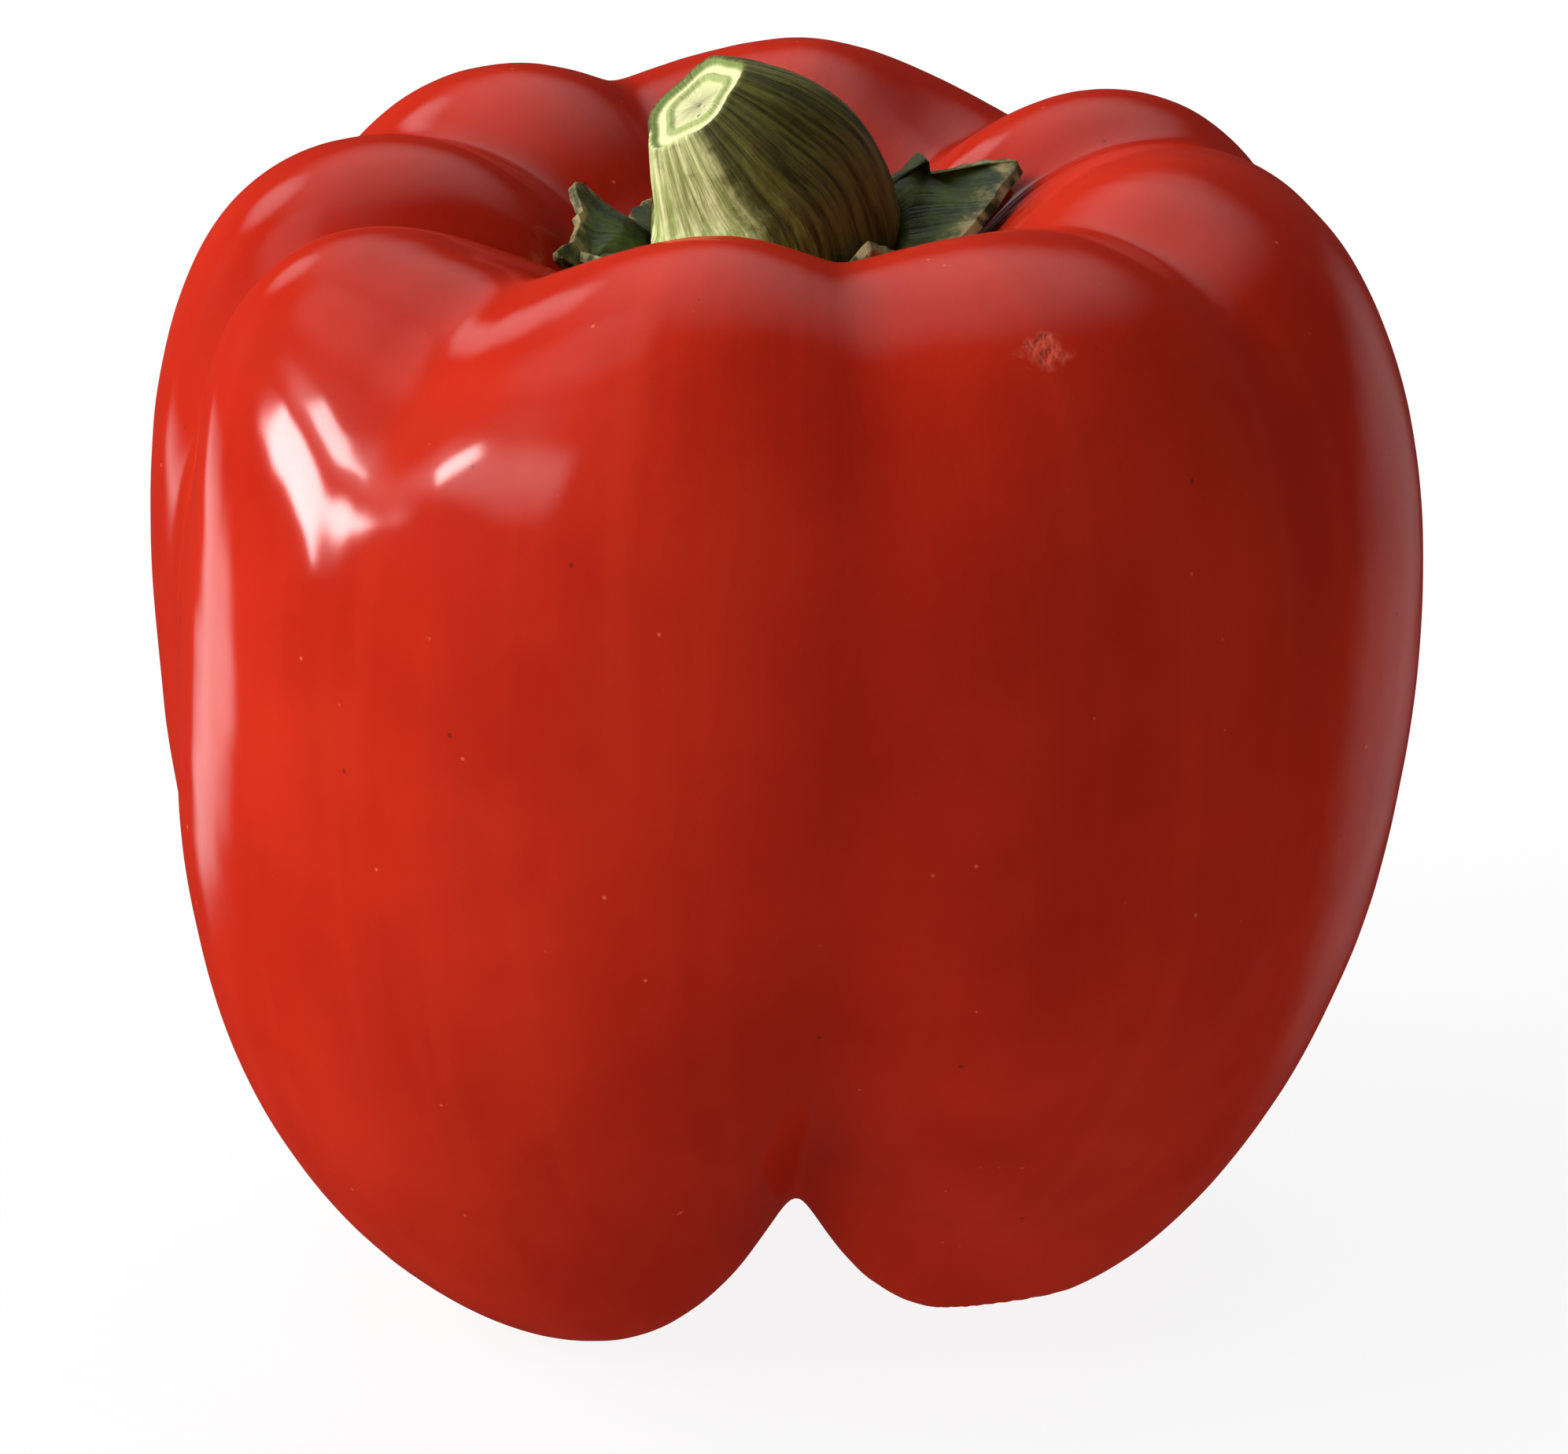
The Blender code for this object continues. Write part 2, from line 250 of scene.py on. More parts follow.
def furrow_group():
    inputs = {name: ("Float", 0.0) for name in ("Azimuth", "Station") + FURROW_VALUES}
    tree, given, end = open_group("furrow", inputs, {"Share": "Float"})
    station = given["Station"]
    climb = ramp(station, BASE, SHOULDER, shape="LINEAR")
    centre = (given["Foot"] + (given["Top"] - given["Foot"]) * climb) * math.radians(1)
    strength = given["Base"] * ramp(station, BLOSSOM, BASE_IN, 0.0, 0.9)
    strength = strength + given["Base"] * ramp(station, BASE_IN, BASE, 0.0, 0.1)
    strength = strength + (given["Belly"] - given["Base"]) * ramp(station, BASE, BELLY)
    strength = strength + (given["Shoulder"] - given["Belly"]) * ramp(station, BELLY, SHOULDER)
    strength = strength + (given["Dimple"] - given["Shoulder"]) * ramp(station, SHOULDER, DIMPLE)
    strength = strength - given["Dimple"] * ramp(station, DIMPLE, STALK)
    turn = turn_from(given["Azimuth"], centre)
    share = strength * soft_peak(turn, given["Spread"], given["Softness"])
    feed(end.inputs["Share"], share)
    return tree


furrow = furrow_group()
print("furrow group:", len(furrow.nodes), "nodes")

# %% [markdown]
# ## One swell
# No two lobes fill out alike. A swell is a soft hill on the skin, given by its place, its height
# and how far it spreads round and along the fruit. A swell of negative height is a dent.

# %% The swell group
SWELL_VALUES = ("Centre", "Middle", "Height", "Width", "Length")


def swell_group():
    inputs = {name: ("Float", 0.0) for name in ("Azimuth", "Station") + SWELL_VALUES}
    tree, given, end = open_group("swell", inputs, {"Height": "Float"})
    turn = turn_from(given["Azimuth"], given["Centre"] * math.radians(1))
    across = turn / (given["Width"] * math.radians(1))
    along = (given["Station"] - given["Middle"]) / given["Length"]
    fall = (across * across + along * along) * -1.0
    feed(end.inputs["Height"], given["Height"] * maths("EXPONENT", fall))
    return tree


swell = swell_group()
print("swell group:", len(swell.nodes), "nodes")

# %% [markdown]
# ## The skin rule
# The rule takes an azimuth and a station and gives the place of the skin there, in millimetres.
# It samples both guides, slides between them by the sum of the furrows, pushes out along the
# crown by the sum of the swells, and turns the result to its azimuth. Two of the lobe tips reach
# in or out a little more than the rest. It is a group of its own because the fruit and the calyx,
# which lies on the fruit, both need it.
#
# A furrow's numbers follow `FURROW_VALUES`: its azimuth at the top and at the foot, how deep it
# is at the base, the belly, the shoulder and the dimple, and how far and how softly it spreads. A
# swell's follow `SWELL_VALUES`: its azimuth, its station, its height in millimetres, and its
# width in degrees and length in stations.

# %% The skin group
FURROWS = {
    "front": (10, 4, 0.90, 0.80, 0.62, 0.60, 22, 4),
    "front_right": (54, 50, 0.00, 0.25, 0.55, 0.50, 14, 4),
    "right": (111, 106, 0.85, 1.00, 1.00, 0.90, 24, 4),
    "back_right": (148, 140, 0.00, 0.25, 0.75, 0.60, 14, 4),
    "back": (204, 184, 0.85, 1.00, 0.84, 0.80, 24, 4),
    "back_left": (243, 230, 0.00, 0.30, 0.70, 0.60, 14, 4),
    "left": (284.5, 280, 0.85, 1.27, 0.88, 0.80, 24, 4),
    "front_left": (322, 316, 0.00, 0.05, 0.60, 1.00, 15, 6),
    "left_crease": (284, 281, 0.00, 0.55, 0.60, 0.50, 7, 3),
}
SWELLS = {
    "left_crest": (256, 0.75, 0.6, 18, 0.08),
    "back_left_crest": (222, 0.77, 1.1, 20, 0.10),
    "back_crest": (188, 0.80, -1.0, 14, 0.08),
    "back_right_valley": (155, 0.80, -2.9, 16, 0.08),
    "right_back_crest": (116, 0.74, 2.3, 18, 0.08),
    "right_shoulder": (84, 0.70, -1.6, 22, 0.10),
    "front_left_crest": (291, 0.71, 3.8, 18, 0.08),
    "front_left_top": (307, 0.81, -1.6, 16, 0.06),
    "front_crest": (354, 0.78, 1.0, 14, 0.08),
    "front_right_crest": (34, 0.80, -0.7, 18, 0.08),
    "front_left_flat": (307, 0.64, -0.22, 8, 0.05),
    "front_left_turn": (311, 0.73, 0.10, 11, 0.05),
    "front_left_belly": (290, 0.35, 3.8, 24, 0.13),
    "front_right_heel": (33, 0.23, -3.4, 25, 0.06),
    "front_right_tip": (58, 0.16, -1.0, 24, 0.05),
    "back_right_tip": (145, 0.16, 1.3, 24, 0.05),
    "back_left_tip": (232, 0.16, -0.9, 24, 0.05),
}
LOBE_REACH = {25: -0.27, 80: 0.03}


def along_guide(tree, guide_object, share):
    """The place and the direction of a guide curve at a share of its length."""
    info = add(tree, "GeometryNodeObjectInfo", {"Object": guide_object})
    inputs = {"Curves": Wire(info.outputs["Geometry"]), "Factor": share}
    sample = add(tree, "GeometryNodeSampleCurve", inputs, mode="FACTOR", use_all_curves=True)
    return Wire(sample.outputs["Position"]), Wire(sample.outputs["Tangent"])


def skin_group():
    inputs = {"Crown": ("Object", None), "Floor": ("Object", None)}
    inputs.update({"Azimuth": ("Float", 0.0), "Station": ("Float", 0.0)})
    tree, given, end = open_group("skin", inputs, {"Place": "Vector", "Furrow": "Float"})
    azimuth, station = given["Azimuth"], given["Station"]
    where = {"Azimuth": azimuth, "Station": station}
    crown, heading = along_guide(tree, given["Crown"], station)
    floor, _ = along_guide(tree, given["Floor"], station)
    furrows = 0.0
    for values in FURROWS.values():
        numbers = dict(zip(FURROW_VALUES, values))
        furrows = use_group(tree, furrow, {**where, **numbers})["Share"] + furrows
    swells = 0.0
    for values in SWELLS.values():
        numbers = dict(zip(SWELL_VALUES, values))
        swells = use_group(tree, swell, {**where, **numbers})["Height"] + swells
    swells = swells * ramp(station, BLOSSOM, BASE_IN) * ramp(station, DIMPLE, STALK, 1.0, 0.0)
    ahead_x, _, ahead_z = parts_of(heading)
    outward = vector_from(tree, ahead_z, 0.0, ahead_x * -1.0)
    meridian = crown + (floor - crown) * furrows + outward * swells
    radius, _, height = parts_of(meridian)
    reach = 1.0
    for centre, share in LOBE_REACH.items():
        facing = maths("MAXIMUM", maths("COSINE", azimuth - math.radians(centre)), 0.0)
        rise = ramp(station, BLOSSOM, BASE, 0.0, share) - ramp(station, BASE, BELLY, 0.0, share)
        reach = facing * facing * rise + reach
    radius = maths("MAXIMUM", radius, 0.0) * reach
    right, back = radius * maths("SINE", azimuth), radius * maths("COSINE", azimuth) * -1.0
    feed(end.inputs["Place"], vector_from(tree, right, back, height))
    feed(end.inputs["Furrow"], furrows)
    return tree


skin = skin_group()
print("skin group:", len(skin.nodes), "nodes,", len(FURROWS), "furrows,", len(SWELLS), "swells")

# %% [markdown]
# ## Growing the fruit
# The tree starts from a UV sphere, because its rows and columns run the way a pepper grows and
# its poles stay closed. Each point reads its azimuth and station off the sphere and moves to
# where the skin rule puts it. Then a second, gentler step adds the unevenness that bends the
# reflections: broad waves, and faint ribs that follow the furrows. The lobe tips are pressed flat
# where they touch.

# %% The fruit tree
WAVE_SCALE = 0.06
RIB_STRETCH = (9.0, 9.0, 2.2)


def sphere_share(tree, columns, rows):
    """A UV sphere, with each point's azimuth and its share of the way from the south pole up."""
    inputs = {"Segments": columns, "Rings": rows, "Radius": 1.0}
    sphere = add(tree, "GeometryNodeMeshUVSphere", inputs)
    x, y, z = parts_of(Wire(add(tree, "GeometryNodeInputPosition").outputs["Position"]))
    azimuth = maths("ARCTAN2", x, y * -1.0)
    share = maths("ARCSINE", maths("MINIMUM", maths("MAXIMUM", z, -1.0), 1.0)) / math.pi + 0.5
    return Wire(sphere.outputs["Mesh"]), azimuth, share


def store(tree, geometry, name, value):
    kind = "FLOAT_VECTOR" if value.socket.type == "VECTOR" else "FLOAT"
    made = add(tree, "GeometryNodeStoreNamedAttribute", data_type=kind, domain="POINT")
    feed(made.inputs["Geometry"], geometry)
    feed(made.inputs["Name"], name)
    feed(made.inputs["Value"], value)
    return Wire(made.outputs["Geometry"])


def noise(tree, place, scale, detail=2.0, roughness=0.5):
    """Smooth random values between 0 and 1, whose size is 1 / scale."""
    inputs = {"Vector": place, "Scale": scale, "Detail": detail, "Roughness": roughness}
    return Wire(add(tree, "ShaderNodeTexNoise", inputs, noise_dimensions="3D").outputs[0])


def finish_tree(tree, geometry, material, end):
    """Smooth shading, real geometry and the material, as every tree here ends."""
    smooth = add(tree, "GeometryNodeSetShadeSmooth", {"Geometry": geometry, "Shade Smooth": True})
    real = add(tree, "GeometryNodeRealizeInstances", {"Geometry": Wire(smooth.outputs["Geometry"])})
    inputs = {"Geometry": Wire(real.outputs["Geometry"]), "Material": material}
    dressed = add(tree, "GeometryNodeSetMaterial", inputs)
    feed(end.inputs["Geometry"], Wire(dressed.outputs["Geometry"]))


def fruit_tree():
    inputs = {
        "Crown": ("Object", None), "Floor": ("Object", None), "Material": ("Material", None),
        "Columns": ("Int", 360), "Rows": ("Int", 250),
        "Waves": ("Float", 0.5), "Ribs": ("Float", 0.15),
    }
    tree, given, end = open_group("grow_fruit", inputs, {"Geometry": "Geometry"})
    sphere, azimuth, station = sphere_share(tree, given["Columns"], given["Rows"])
    guides = {"Crown": given["Crown"], "Floor": given["Floor"]}
    grown = use_group(tree, skin, {**guides, "Azimuth": azimuth, "Station": station})
    meridian = vector_from(tree, maths("SINE", azimuth), maths("COSINE", azimuth), station)
    geometry = store(tree, sphere, "furrow", grown["Furrow"])
    geometry = store(tree, geometry, "meridian", meridian)
    moved = add(tree, "GeometryNodeSetPosition", {"Geometry": geometry, "Position": grown["Place"]})
    place = Wire(add(tree, "GeometryNodeInputPosition").outputs["Position"])
    normal = Wire(add(tree, "GeometryNodeInputNormal").outputs["Normal"])
    inputs = {"Name": "meridian"}
    named = add(tree, "GeometryNodeInputNamedAttribute", inputs, data_type="FLOAT_VECTOR")
    ribbed = Wire(named.outputs["Attribute"]) * vector_from(tree, *RIB_STRETCH)
    waves = (noise(tree, place, WAVE_SCALE) - 0.5) * given["Waves"]
    ribs = (noise(tree, ribbed, 1.0) - 0.5) * given["Ribs"]
    inputs = {"Geometry": Wire(moved.outputs["Geometry"]), "Offset": normal * (waves + ribs)}
    uneven = add(tree, "GeometryNodeSetPosition", inputs)
    x, y, z = parts_of(Wire(add(tree, "GeometryNodeInputPosition").outputs["Position"]))
    level = vector_from(tree, x * MM, y * MM, maths("MAXIMUM", z, 0.0) * MM)
    inputs = {"Geometry": Wire(uneven.outputs["Geometry"]), "Position": level}
    sized = add(tree, "GeometryNodeSetPosition", inputs)
    finish_tree(tree, Wire(sized.outputs["Geometry"]), given["Material"], end)
    return tree


# %% [markdown]
# ## From a tree to a plain mesh
# A tree runs as a modifier. Its inputs are set by socket identifier before anything is evaluated,
# and the evaluated result is then copied into a plain mesh, because only plain geometry travels
# with the part. A last move puts the fruit's box exactly over the box of its solid.

# %% Grow a tree and keep the mesh


def grow(name, tree, settings):
    """Runs a tree on an empty object and returns an object that holds the plain result."""
    seed = bpy.data.objects.new(name + "_seed", bpy.data.meshes.new(name + "_seed"))
    bpy.context.scene.collection.objects.link(seed)
    modifier = seed.modifiers.new("grow", "NODES")
    modifier.node_group = tree
    for item in tree.interface.items_tree:
        if item.in_out == "INPUT" and item.name in settings:
            modifier[item.identifier] = settings[item.name]
    evaluated = seed.evaluated_get(bpy.context.evaluated_depsgraph_get())
    mesh = bpy.data.meshes.new_from_object(evaluated)
    mesh.name = name
    seed.modifiers.remove(modifier)
    bpy.data.objects.remove(seed)
    piece = bpy.data.objects.new(name, mesh)
    bpy.context.scene.collection.objects.link(piece)
    print(name, "has", len(mesh.polygons), "faces")
    return piece


def mesh_box(piece):
    corners = [Vector(corner) for corner in piece.bound_box]
    low = Vector(min(corner[i] for corner in corners) for i in range(3))
    high = Vector(max(corner[i] for corner in corners) for i in range(3))
    return low, high


# %% [markdown]
# ## The red skin
# The skin of a pepper is a thin clear wax over deep red flesh, so the shader is a soft red base
# under a glossy coat, with a little light passing through. The colour isn't even: it is clouded at
# the scale of a fingertip, and it is darker along the furrows, where shade is painted into them, so
# that the crowns read brighter. Tiny pale pores and a few dark specks break it up, a graze has
# healed pale on the right front crown, and the blossom end has a dry brown scar. The base has no
# sheen of its own, so that all of the shine comes from the wax.

# %% The skin material


def attribute(tree, name, output):
    return Wire(add(tree, "ShaderNodeAttribute", attribute_name=name).outputs[output])


def place_mm(tree):
    """Object coordinates in millimetres."""
    return Wire(add(tree, "ShaderNodeTexCoord").outputs["Object"]) * 1000.0


def mix(share, low, high):
    """Goes from one colour to another by a share. A colour is a wire or three numbers."""
    colours = [value if isinstance(value, Wire) else (*value, 1.0) for value in (low, high)]
    made = add(share.socket.id_data, "ShaderNodeMix", {"Factor": share}, data_type="RGBA")
    feed(made.inputs[6], colours[0])
    feed(made.inputs[7], colours[1])
    return Wire(made.outputs[2])


def cells(tree, place, scale):
    """The distance to the nearest of many scattered points."""
    inputs = {"Vector": place, "Scale": scale}
    return Wire(add(tree, "ShaderNodeTexVoronoi", inputs).outputs["Distance"])


def bump(tree, height, distance):
    inputs = {"Height": height, "Distance": distance, "Strength": 1.0}
    return Wire(add(tree, "ShaderNodeBump", inputs).outputs["Normal"])


def new_material(name):
    material = bpy.data.materials.new(name)
    material.use_nodes = True
    return material, material.node_tree, material.node_tree.nodes["Principled BSDF"]


SKIN = {
    "deep": (0.36, 0.014, 0.005), "bright": (0.43, 0.020, 0.007), "streak": (0.47, 0.028, 0.009),
    # The furrow colour is painted shade, laid into the furrows.
    "furrow": (0.27, 0.009, 0.003), "pore": (0.72, 0.16, 0.08), "speck": (0.10, 0.012, 0.006),
    "graze": (0.62, 0.14, 0.09), "scar": (0.30, 0.17, 0.07),
}
GRAZE_PLACE, GRAZE_SHAPE = (17.0, -33.0, 78.6), (0.75, 0.5, 1.3)
WAX_SHARE, WAX_ROUGHNESS, PEEL_DEPTH = 0.4, 0.10, 0.00004


def red_skin():
    material, tree, shader = new_material("pepper_skin")
    place = place_mm(tree)
    furrow_share = attribute(tree, "furrow", "Fac")
    meridian = attribute(tree, "meridian", "Vector")
    station = parts_of(meridian)[2]
    clouds = noise(tree, place, 0.07, 3.0)
    streaks = noise(tree, meridian * vector_from(tree, 14.0, 14.0, 3.0), 1.0, 3.0)
    ripe = mix(ramp(clouds, 0.3, 0.7), SKIN["deep"], SKIN["bright"])
    ripe = mix(ramp(streaks, 0.45, 0.8, 0.0, 0.3), ripe, SKIN["streak"])
    # Painted shade: the skin is mixed darker along the furrows, where shade falls in them.
    ripe = mix(ramp(furrow_share, 0.35, 1.1, 0.0, 0.55), ripe, SKIN["furrow"])
    pores = ramp(cells(tree, place, 0.55), 0.05, 0.11, 1.0, 0.0)
    rare = ramp(noise(tree, place, 0.45), 0.60, 0.66)
    ripe = mix(pores * rare * 0.45, ripe, SKIN["pore"])
    specks = ramp(cells(tree, place, 0.16), 0.022, 0.035, 1.0, 0.0)
    ripe = mix(specks * 0.7, ripe, SKIN["speck"])
    off = vector_maths("SUBTRACT", place, Vector(GRAZE_PLACE)) * vector_from(tree, *GRAZE_SHAPE)
    graze = vector_maths("LENGTH", off) + (noise(tree, place, 1.1, 2.0) - 0.5) * 1.6
    ripe = mix(ramp(graze, 0.7, 1.3) * ramp(graze, 1.3, 1.9, 0.35, 0.0), ripe, SKIN["graze"])
    scar_edge = noise(tree, place, 0.9, 3.0)
    scar = ramp(station + (scar_edge - 0.5) * 0.012, 0.010, 0.018, 1.0, 0.0)
    feed(shader.inputs["Base Color"], mix(scar, ripe, SKIN["scar"]))
    gloss = ramp(noise(tree, place, 0.12, 3.0), 0.3, 0.7, 0.24, 0.34)
    feed(shader.inputs["Roughness"], maths("MAXIMUM", gloss, scar * 0.7))
    peel = noise(tree, place, 0.9, 2.0) + streaks * 1.5
    peel = peel - ramp(graze, 0.6, 1.6, 9.0, 0.0)
    feed(shader.inputs["Normal"], bump(tree, peel, PEEL_DEPTH))
    shader.inputs["Specular IOR Level"].default_value = 0.0
    shader.inputs["Coat Weight"].default_value = WAX_SHARE
    shader.inputs["Coat Roughness"].default_value = WAX_ROUGHNESS
    shader.inputs["Subsurface Weight"].default_value = 0.08
    shader.inputs["Subsurface Radius"].default_value = (1.0, 0.12, 0.06)
    shader.inputs["Subsurface Scale"].default_value = 0.003
    return material


fruit = grow("pepper_fruit", fruit_tree(), {
    "Crown": crown_guide, "Floor": floor_guide, "Material": red_skin(), "Columns": 360, "Rows": 250,
})

# %% [markdown]
# ## The green stalk and its calyx
# The calyx and the stalk are one growth. The seat follows the skin of the dimple at a small
# distance, the sepals end in tips that curl away from it, and the upper side runs inwards and up
# into the ribbed stalk, which bends to one side and ends in a clean cut. So the same kind of
# sphere is bent again: its lower rows become the seat, its middle rows the sepals and the stalk,
# its last rows the cut. The sepals' rims fray a little, which only a fine mesh can show.
#
# A sepal's numbers are its azimuth, how far it reaches past the calyx's edge, how high its tip
# curls, how much tissue webs it to the stalk, and how far it spreads. The cut's rings are steps
# in height: where each starts and ends, as a share of the way from the rim to the middle, and how
# far it goes.

# %% The green tree
SEAT_GAP = 0.45
CALYX_EDGE, CALYX_THICK_IN, CALYX_THICK_OUT, FOOT_SHARE = 14.0, 5.0, 0.7, 0.38
SEPALS = {
    "front_curl": (38, 1.5, 3.6, 0.0, 15),
    "right_flap": (112, 14.5, 0.8, 16.0, 20),
    "back_right": (166, 4.5, 0.8, 0.0, 15),
    "back_left": (214, 5.0, 0.8, 0.0, 15),
    "left": (260, 7.0, 1.8, 2.0, 12),
    "left_tip": (284, 10.5, 1.6, 0.0, 9),
    "front_left": (318, 8.0, 1.4, 0.0, 12),
}
TIP_SOFTNESS, CURL_SOFTNESS = 5.0, 8.0
STALK_FOOT, STALK_CUT, STALK_TAPER = 9.0, 4.3, 3.2
STALK_RIBS, RIB_SHARE, RIB_TURN = 5, 0.07, 20.0
PLAN_ROWS = 42
SEAT_END, CALYX_START, FOOT_START = 10 / PLAN_ROWS, 12 / PLAN_ROWS, 18 / PLAN_ROWS
FOOT_END, CUT_START = 25 / PLAN_ROWS, 36 / PLAN_ROWS
CUT_STEPS = [(0.04, 0.16, -0.35), (0.30, 0.38, 0.25), (0.44, 0.52, -0.3)]
CURL_POWER, FRAY_POWER, SKIN_STEP = 4.0, 3.0, 0.003


def choose(test, if_false, if_true):
    """One of two vectors or numbers, by a test that is 0 or 1."""
    return if_false + (if_true - if_false) * test


def calyx_place(tree, given, azimuth, share, height, fray, over):
    """A point at a height over the skin, at a share of the way from the centre to the sepals' rim.

    Over is 0 on the seat and 1 on the upper side, where webs fill in behind the sepals."""
    edge, curl, web = CALYX_EDGE, 0.0, 0.0
    for centre, reach, rise, fill, width in SEPALS.values():
        turn = turn_from(azimuth, math.radians(centre))
        edge = soft_peak(turn, width, TIP_SOFTNESS) * reach + edge
        curl = soft_peak(turn, width, CURL_SOFTNESS) * rise + curl
        web = soft_peak(turn, width, CURL_SOFTNESS) * fill + web
    station = 1.0 - share * (edge + fray) / crown_length
    lift = curl * maths("POWER", share, CURL_POWER) + height + SEAT_GAP
    lift = web * (1.0 - share) * over + lift

    def skin_at(turned, level):
        guides = {"Crown": given["Crown"], "Floor": given["Floor"]}
        return use_group(tree, skin, {**guides, "Azimuth": turned, "Station": level})["Place"]

    inside = maths("MINIMUM", station, 1.0 - SKIN_STEP)
    along = skin_at(azimuth, inside + SKIN_STEP) - skin_at(azimuth, inside - SKIN_STEP)
    round_it = skin_at(azimuth + SKIN_STEP, inside) - skin_at(azimuth - SKIN_STEP, inside)
    upward = vector_from(tree, 0.0, 0.0, 0.0001)
    outward = vector_maths("NORMALIZE", vector_maths("CROSS_PRODUCT", round_it, along) + upward)
    return skin_at(azimuth, station) + outward * lift


def stalk_place(tree, given, azimuth, climb, inward, grain):
    """A point of the stalk, and its direction there. Inward is 1 in the middle of the cut."""
    centre, heading = along_guide(tree, given["Stalk"], climb)
    sideways = vector_from(tree, 1.0, 0.0, 0.0)
    across = sideways - heading * vector_maths("DOT_PRODUCT", heading, sideways)
    across = vector_maths("NORMALIZE", across)
    depth = vector_maths("CROSS_PRODUCT", heading, across)
    ribs = maths("COSINE", (azimuth - math.radians(RIB_TURN)) * STALK_RIBS)
    radius = maths("POWER", climb, STALK_TAPER) * (STALK_CUT - STALK_FOOT) + STALK_FOOT
    radius = radius * (ribs * RIB_SHARE + grain + 1.0) * (1.0 - inward)
    place = centre + across * (radius * maths("SINE", azimuth))
    return place - depth * (radius * maths("COSINE", azimuth)), heading


def green_tree():
    inputs = {
        "Crown": ("Object", None), "Floor": ("Object", None), "Stalk": ("Object", None),
        "Material": ("Material", None), "Columns": ("Int", 320), "Rows": ("Int", 252),
        "Fray": ("Float", 4.0), "Grain": ("Float", 0.06),
    }
    tree, given, end = open_group("grow_green", inputs, {"Geometry": "Geometry"})
    sphere, azimuth, share = sphere_share(tree, given["Columns"], given["Rows"])
    round_it = vector_from(tree, maths("SINE", azimuth), maths("COSINE", azimuth), 0.0)
    fray = (noise(tree, round_it, 7.0, 4.0, 0.7) - 0.5) * given["Fray"]
    is_seat = maths("LESS_THAN", share, SEAT_END)
    inward = 1.0 - ramp(share, CALYX_START, FOOT_END, 0.0, 1.0 - FOOT_SHARE, "LINEAR")
    calyx_share = choose(is_seat, inward, share / SEAT_END)
    edge_rise = ramp(share, SEAT_END, CALYX_START)
    thickness = (inward * (CALYX_THICK_OUT - CALYX_THICK_IN) + CALYX_THICK_IN) * edge_rise
    fray = fray * maths("POWER", calyx_share, FRAY_POWER)
    calyx = calyx_place(tree, given, azimuth, calyx_share, thickness, fray, edge_rise)
    climb = ramp(share, FOOT_START, CUT_START, 0.0, 1.0, "LINEAR")
    cut = ramp(share, CUT_START, 1.0, 0.0, 1.0, "LINEAR")
    fibres = round_it * 3.0 + vector_from(tree, 0.0, 0.0, climb * 1.2)
    grain = (noise(tree, fibres, 2.0, 3.0, 0.6) - 0.5) * given["Grain"]
    grain = grain * ramp(cut, 0.0, 0.3, 1.0, 0.0)
    stalk, heading = stalk_place(tree, given, azimuth, climb, cut, grain)
    sunk = 0.0
    for start, last, rise in CUT_STEPS:
        sunk = ramp(cut, start, last, 0.0, rise) + sunk
    stalk = stalk + heading * sunk
    blend = ramp(share, FOOT_START, FOOT_END)
    place = choose(blend, calyx, stalk)
    geometry = store(tree, sphere, "cut", cut)
    geometry = store(tree, geometry, "climb", climb)
    geometry = store(tree, geometry, "round", round_it)
    geometry = store(tree, geometry, "rim", calyx_share * (1.0 - blend))
    inputs = {"Geometry": geometry, "Position": place * MM}
    moved = add(tree, "GeometryNodeSetPosition", inputs)
    finish_tree(tree, Wire(moved.outputs["Geometry"]), given["Material"], end)
    return tree


# %% [markdown]
# ## The green tissue
# The stalk is fibrous, with darker grooves between its ribs. Its front left side, towards the lamp,
# is painted pale as a lit side, and the rest of it is painted dark as shade. The calyx is a deeper
# green that dries to straw at its rims. The cut end shows the plant's rings: a green rind, a pale
# woody ring and a spongy middle with dark pits. One material reads how far a point is along the
# growth and changes from one tissue to the next.

# %% The green material
GREEN = {
    # The shaded colours are painted shade and the pale ones painted light: the stalk's bark in a
    # shaded copy and a lit copy.
    "shaded_groove": (0.028, 0.030, 0.003), "shaded_rib": (0.115, 0.115, 0.018),
    "painted_lit_groove": (0.26, 0.30, 0.08), "painted_lit_rib": (0.62, 0.64, 0.31),
    "brown": (0.09, 0.055, 0.012), "leaf_dark": (0.012, 0.020, 0.003), "leaf": (0.06, 0.085, 0.014),
    "straw": (0.34, 0.26, 0.12), "rind": (0.16, 0.22, 0.05), "wood": (0.62, 0.62, 0.32),
    "inner_ring": (0.34, 0.40, 0.14), "pit": (0.22, 0.20, 0.07),
}
# The side of the stalk that is painted as lit, as the sine and cosine of its azimuth: the front
# left, towards the lamp.
PAINTED_LIT_SIDE = (-0.71, 0.71)
FIBRE_DEPTH = 0.00035


